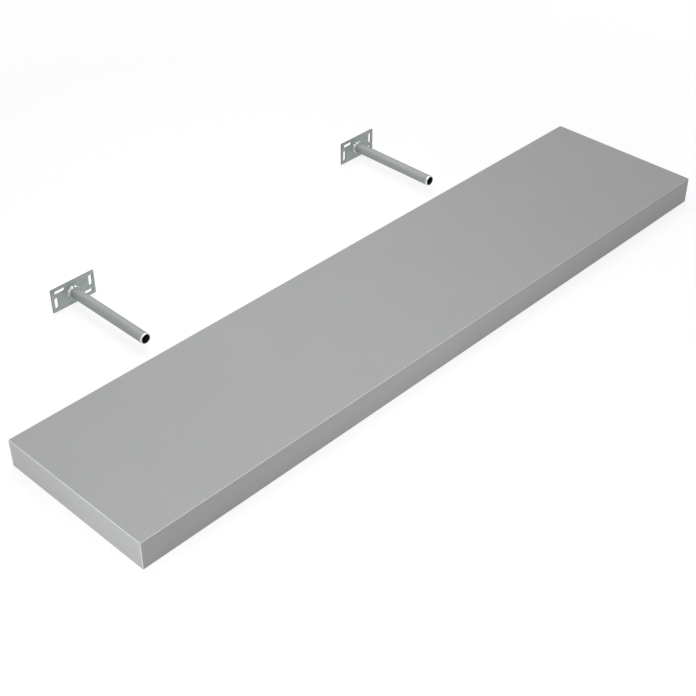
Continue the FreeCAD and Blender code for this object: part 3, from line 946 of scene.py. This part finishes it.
# %% [markdown]
# ## Floor sheet
# The floor is one large flat sheet under the board, a touch lower than its underside, because two faces
# at the same height show through each other in patches. A curved backdrop would hide the horizon, but
# here floor and world are equally white. It isn't part of the object.

# %% Floor sheet
FLOOR_SIZE = 30.0
FLOOR_GAP_MM = 0.2

work = bmesh.new()
bmesh.ops.create_grid(work, x_segments=1, y_segments=1, size=FLOOR_SIZE / 2)
bmesh.ops.translate(work, vec=(0, 0, cad_box[0][Z] - FLOOR_GAP_MM * MM), verts=work.verts)
floor_mesh = bpy.data.meshes.new("floor")
work.to_mesh(floor_mesh)
work.free()
floor_mesh.materials.append(floor_paper)
floor = bpy.data.objects.new("floor", floor_mesh)
bpy.context.scene.collection.objects.link(floor)
print("floor at", round(cad_box[0][Z] / MM - FLOOR_GAP_MM, 1), "mm")

# %% [markdown]
# ## White room
# Above the horizon the camera sees the world. A world that is white for all rays would light the object
# from every side and leave it flat. So it is white for rays that see it, as the floor is, and much
# dimmer for the light that it sheds: the lamps shape the object, and the world only fills the shadows.

# %% White room
AMBIENT = 0.3

world = bpy.data.worlds.new("white_room")
bpy.context.scene.world = world
world.use_nodes = True
world.node_tree.nodes.clear()
level = add_node(world, "ShaderNodeMapRange", {"To Min": AMBIENT, "To Max": 1.0},
                 {"Value": seen_rays(world)})
sky = add_node(world, "ShaderNodeBackground", {"Color": WHITE}, {"Strength": level.outputs[0]})
add_node(world, "ShaderNodeOutputWorld", links={"Surface": sky.outputs[0]})
print("white room, ambient", AMBIENT)

# %% [markdown]
# ## Lamps
# A soft box close above the board makes the middle of its top the brightest, and a larger one high up
# behind lights the rest. Two small cards close to the left end and to the front make the end brighter
# than the front, which stays in half shade. The key stands beside the camera: it hardly changes the flat
# faces, but the rounded edges and the steel catch it as thin highlights. Sun lamps would be simpler, but
# their light is the same all over, and a board a metre long shows that. Seen along the board, the two
# cards would mirror in the satin top as white patches, so they are left out of reflections.

# %% Lamps
AIM = Vector((0.0, -0.35, 0.0))


def soft_box(name, position, size, power, mirrored=True):
    """A square area lamp that faces the object, and shows in its reflections if mirrored."""
    lamp = bpy.data.lights.new(name, "AREA")
    lamp.shape = "SQUARE"
    lamp.size = size
    lamp.energy = power
    holder = bpy.data.objects.new(name, lamp)
    holder.location = position
    holder.rotation_euler = (AIM - Vector(position)).to_track_quat("-Z", "Y").to_euler()
    holder.visible_camera = False
    holder.visible_glossy = mirrored
    bpy.context.scene.collection.objects.link(holder)


soft_box("overhead_box", (-0.15, -0.2, 0.9), size=0.6, power=2.1)
soft_box("rear_box", (0.5, 0.5, 1.8), size=1.4, power=9.8)
soft_box("front_card", (-0.13, -0.92, 0.24), size=0.3, power=0.45, mirrored=False)
soft_box("end_card", (-1.0, -0.48, 0.13), size=0.25, power=1.2, mirrored=False)
soft_box("key_box", (-1.05, -1.0, 1.25), size=0.35, power=3.0)

# %% [markdown]
# ## Camera
# The camera stands in front and to the left, well above the board. It could be moved by hand until the
# picture looks alike, but its turn, height, distance and lens all change the picture at once. So they
# were worked out together from the board's corners in the photograph, and the lens gives the same
# convergence.

# %% Camera
LENS_MM = 70.1
SENSOR_MM = 36
AZIMUTH = math.radians(-46.059)
ELEVATION = math.radians(37.405)
DISTANCE = 1.8891
ASIDE = -0.06234
UP = -0.06097
panel_low, panel_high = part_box("top_panel")
BOARD_MIDDLE = Vector((0, (panel_low.y + panel_high.y) / 2, 0))

camera_data = bpy.data.cameras.new("camera")
camera_data.lens = LENS_MM
camera_data.sensor_width = SENSOR_MM
camera = bpy.data.objects.new("camera", camera_data)
camera.rotation_euler = (math.pi / 2 - ELEVATION, 0, AZIMUTH)
right, upward, back = camera.rotation_euler.to_matrix().transposed()
camera.location = BOARD_MIDDLE + back * DISTANCE + right * ASIDE + upward * UP
bpy.context.scene.collection.objects.link(camera)
bpy.context.scene.camera = camera
bpy.context.scene.view_settings.view_transform = "Standard"
print("camera at", [round(c, 3) for c in camera.location])

# %% [markdown]
# ## The CAD box
# The looks must not change the size, so the box round the bare CAD solids is printed at the end.

# %% Print the CAD box
print("cad", [list(c) for c in cad_box])
